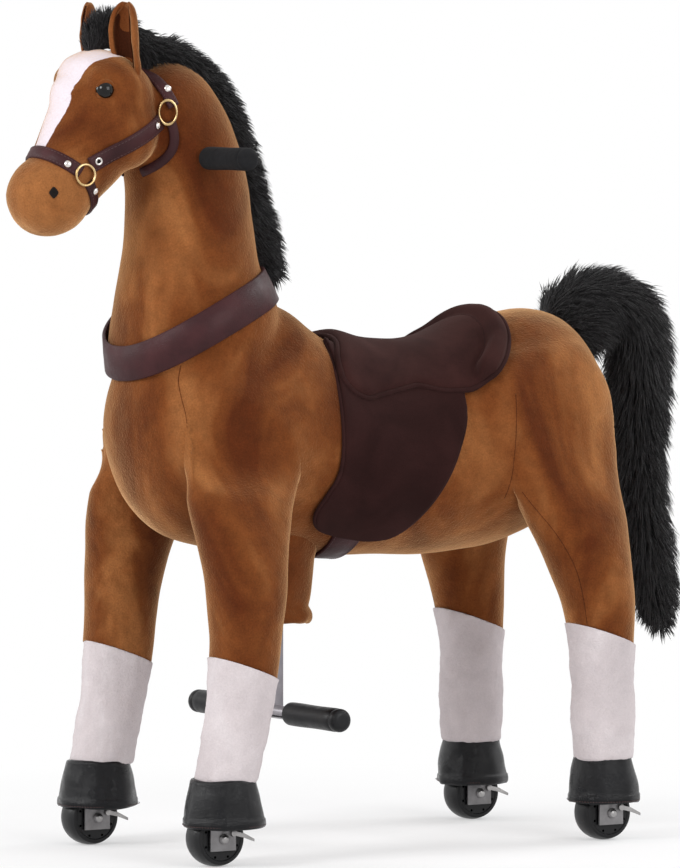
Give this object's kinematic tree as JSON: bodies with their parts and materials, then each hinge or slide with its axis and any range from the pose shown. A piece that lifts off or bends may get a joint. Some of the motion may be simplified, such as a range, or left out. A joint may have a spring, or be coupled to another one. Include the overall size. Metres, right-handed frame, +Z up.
{
  "type": "ride-on horse",
  "caption": "Walking ride-on plush horse over a steel frame, with swinging leg pairs, ratchet wheels in boots, steering neck with handlebar, saddle, bridle and footrest.",
  "frame": {"origin": "on the floor, midway between the left and right wheels and midway between the front and rear axles, near the middle of the footprint", "axes": "+X forward, +Y to the horse's left, +Z up"},
  "size_m": [0.8753, 0.355, 0.94],
  "materials": {
    "plush": "short pile plush, chestnut brown",
    "sock_plush": "short pile plush, off-white",
    "hair": "long pile fur, black",
    "boot_vinyl": "glossy black vinyl",
    "strap_leather": "dark brown imitation leather",
    "saddle_suede": "brushed suede cloth, dark brown",
    "frame_steel": "satin grey paint on steel tube",
    "fork_plate": "satin grey plate",
    "spring_steel": "zinc-plated spring steel",
    "wheel_rubber": "solid black rubber",
    "grip_rubber": "matte black rubber",
    "ring_brass": "pale brass",
    "eye_gloss": "dark brown, polished"
  },
  "bodies": {
    "frame": {"main_frame": "frame_steel", "footrest_frame": "frame_steel", "footrest_grip_left": "grip_rubber", "footrest_grip_right": "grip_rubber", "footrest_sleeve": "plush", "torso_plush": "plush", "saddle_seat": "saddle_suede", "saddle_cloth": "saddle_suede", "girth_strap": "strap_leather", "tail": "hair", "front_return_spring": "spring_steel", "rear_return_spring": "spring_steel"},
    "neck": {"steering_stem": "frame_steel", "handlebar_grip_left": "grip_rubber", "handlebar_grip_right": "grip_rubber", "neck_plush": "plush", "head_plush": "plush", "ear_left": "plush", "ear_right": "plush", "eye_left": "eye_gloss", "eye_right": "eye_gloss", "mane": "hair", "collar_strap": "strap_leather", "noseband": "strap_leather", "crown_strap": "strap_leather", "cheek_strap_left": "strap_leather", "cheek_strap_right": "strap_leather", "lower_ring_left": "ring_brass", "lower_ring_right": "ring_brass", "upper_ring_left": "ring_brass", "upper_ring_right": "ring_brass"},
    "front_legs": {"front_leg_frame": "frame_steel", "front_leg_plush_left": "plush", "front_leg_plush_right": "plush", "front_sock_left": "sock_plush", "front_sock_right": "sock_plush", "front_boot_left": "boot_vinyl", "front_boot_right": "boot_vinyl"},
    "rear_legs": {"rear_leg_frame": "frame_steel", "rear_leg_plush_left": "plush", "rear_leg_plush_right": "plush", "rear_sock_left": "sock_plush", "rear_sock_right": "sock_plush", "rear_boot_left": "boot_vinyl", "rear_boot_right": "boot_vinyl", "rear_fork_left": "fork_plate", "rear_fork_right": "fork_plate"},
    "drive_link": {"drive_link": "frame_steel"},
    "front_fork_left": {"front_fork_left": "fork_plate"},
    "front_fork_right": {"front_fork_right": "fork_plate"},
    "front_wheel_left": {"front_wheel_left": "wheel_rubber"},
    "front_pawl_left": {"front_pawl_left": "spring_steel"},
    "front_wheel_right": {"front_wheel_right": "wheel_rubber"},
    "front_pawl_right": {"front_pawl_right": "spring_steel"},
    "rear_wheel_left": {"rear_wheel_left": "wheel_rubber"},
    "rear_pawl_left": {"rear_pawl_left": "spring_steel"},
    "rear_wheel_right": {"rear_wheel_right": "wheel_rubber"},
    "rear_pawl_right": {"rear_pawl_right": "spring_steel"}
  },
  "joints": [
    {"name": "steering", "type": "hinge", "parent": "frame", "child": "neck", "pos_m": [0.20131, 0, 0.57421], "axis": [0.4493, 0, 0.8934], "range_deg": [-15, 15]},
    {"name": "front_leg_swing", "type": "hinge", "parent": "frame", "child": "front_legs", "pos_m": [0.2, 0, 0.43], "axis": [0, -1, 0], "range_deg": [0, 12], "stiffness_Nm_per_rad": 40, "springref_deg": -11.46},
    {"name": "rear_leg_swing", "type": "hinge", "parent": "frame", "child": "rear_legs", "pos_m": [-0.215, 0, 0.43], "axis": [0, 1, 0], "range_deg": [0, 12]},
    {"name": "drive_link_pivot", "type": "hinge", "parent": "front_legs", "child": "drive_link", "pos_m": [0.2, 0.0538, 0.47], "axis": [0, -1, 0], "range_deg": [-12, 0]},
    {"name": "front_fork_left_steer", "type": "hinge", "parent": "front_legs", "child": "front_fork_left", "pos_m": [0.25, 0.1335, 0.08], "axis": [0, 0, 1], "range_deg": [-15, 15]},
    {"name": "front_fork_right_steer", "type": "hinge", "parent": "front_legs", "child": "front_fork_right", "pos_m": [0.25, -0.1335, 0.08], "axis": [0, 0, 1], "range_deg": [-15, 15]},
    {"name": "front_wheel_left_spin", "type": "hinge", "parent": "front_fork_left", "child": "front_wheel_left", "pos_m": [0.257, 0.1335, 0.03111], "axis": [0, 1, 0], "continuous": true},
    {"name": "front_pawl_left_lift", "type": "hinge", "parent": "front_fork_left", "child": "front_pawl_left", "pos_m": [0.2445, 0.1518, 0.03711], "axis": [0, 1, 0], "range_deg": [0, 20]},
    {"name": "front_wheel_right_spin", "type": "hinge", "parent": "front_fork_right", "child": "front_wheel_right", "pos_m": [0.257, -0.1335, 0.03111], "axis": [0, 1, 0], "continuous": true},
    {"name": "front_pawl_right_lift", "type": "hinge", "parent": "front_fork_right", "child": "front_pawl_right", "pos_m": [0.2445, -0.1152, 0.03711], "axis": [0, 1, 0], "range_deg": [0, 20]},
    {"name": "rear_wheel_left_spin", "type": "hinge", "parent": "rear_legs", "child": "rear_wheel_left", "pos_m": [-0.257, 0.1335, 0.03111], "axis": [0, 1, 0], "continuous": true},
    {"name": "rear_pawl_left_lift", "type": "hinge", "parent": "rear_legs", "child": "rear_pawl_left", "pos_m": [-0.2695, 0.1518, 0.03711], "axis": [0, 1, 0], "range_deg": [0, 20]},
    {"name": "rear_wheel_right_spin", "type": "hinge", "parent": "rear_legs", "child": "rear_wheel_right", "pos_m": [-0.257, -0.1335, 0.03111], "axis": [0, 1, 0], "continuous": true},
    {"name": "rear_pawl_right_lift", "type": "hinge", "parent": "rear_legs", "child": "rear_pawl_right", "pos_m": [-0.2695, -0.1152, 0.03711], "axis": [0, 1, 0], "range_deg": [0, 20]}
  ],
  "couplings": [
    {"joint": "rear_leg_swing", "follows": "front_leg_swing", "ratio": 1},
    {"joint": "drive_link_pivot", "follows": "front_leg_swing", "ratio": -1},
    {"joint": "front_fork_left_steer", "follows": "steering", "ratio": 1},
    {"joint": "front_fork_right_steer", "follows": "steering", "ratio": 1}
  ]
}
